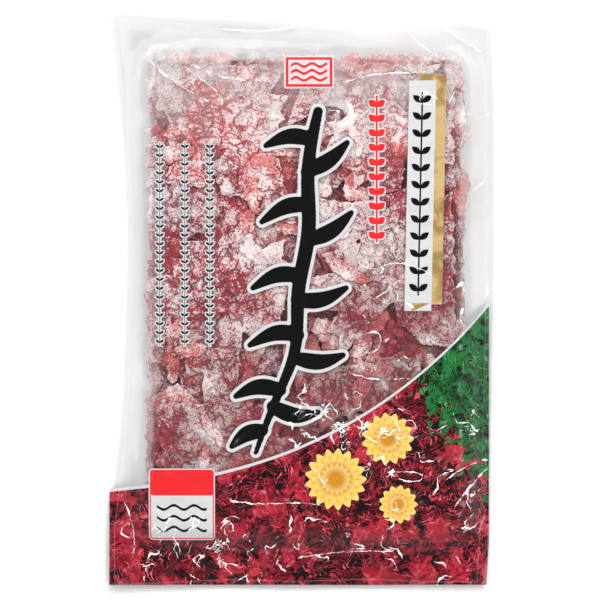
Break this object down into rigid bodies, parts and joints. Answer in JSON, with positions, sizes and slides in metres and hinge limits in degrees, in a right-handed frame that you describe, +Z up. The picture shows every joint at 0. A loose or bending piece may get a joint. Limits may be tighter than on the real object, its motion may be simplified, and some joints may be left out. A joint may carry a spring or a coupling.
{
  "type": "packet of salted red seaweed",
  "caption": "Flat clear heat-sealed film packet holding a pressed block of salted red comb-shaped seaweed.",
  "frame": {"origin": "centre of the packet's bounding box, on the surface that it lies on", "axes": "+X across the packet, +Y along it to its top seal, +Z up out of the printed front"},
  "size_m": [0.204, 0.307, 0.0139],
  "materials": {
    "clear_film": "clear glossy film",
    "printed_film": "clear glossy film, printed",
    "crimson_seaweed": "matt, salted",
    "coral_seaweed": "matt, salted",
    "maroon_seaweed": "matt, salted",
    "salt": "coarse crystals"
  },
  "bodies": {
    "root": {"film_back": "clear_film", "film_front": "printed_film", "plant_1_1": "crimson_seaweed", "plant_1_2": "maroon_seaweed", "plant_1_3": "coral_seaweed", "plant_1_4": "crimson_seaweed", "plant_1_5": "maroon_seaweed", "plant_1_6": "coral_seaweed", "plant_2_1": "maroon_seaweed", "plant_2_2": "coral_seaweed", "plant_2_3": "crimson_seaweed", "plant_2_4": "maroon_seaweed", "plant_2_5": "coral_seaweed", "plant_2_6": "crimson_seaweed", "plant_3_1": "coral_seaweed", "plant_3_2": "crimson_seaweed", "plant_3_3": "maroon_seaweed", "plant_3_4": "coral_seaweed", "plant_3_5": "crimson_seaweed", "plant_3_6": "maroon_seaweed", "plant_4_1": "crimson_seaweed", "plant_4_2": "maroon_seaweed", "plant_4_3": "coral_seaweed", "plant_4_4": "crimson_seaweed", "plant_4_5": "maroon_seaweed", "plant_4_6": "coral_seaweed", "salt_drift_1": "salt", "salt_drift_2": "salt", "salt_drift_3": "salt", "salt_drift_4": "salt", "salt_drift_5": "salt", "salt_drift_6": "salt"}
  },
  "joints": []
}
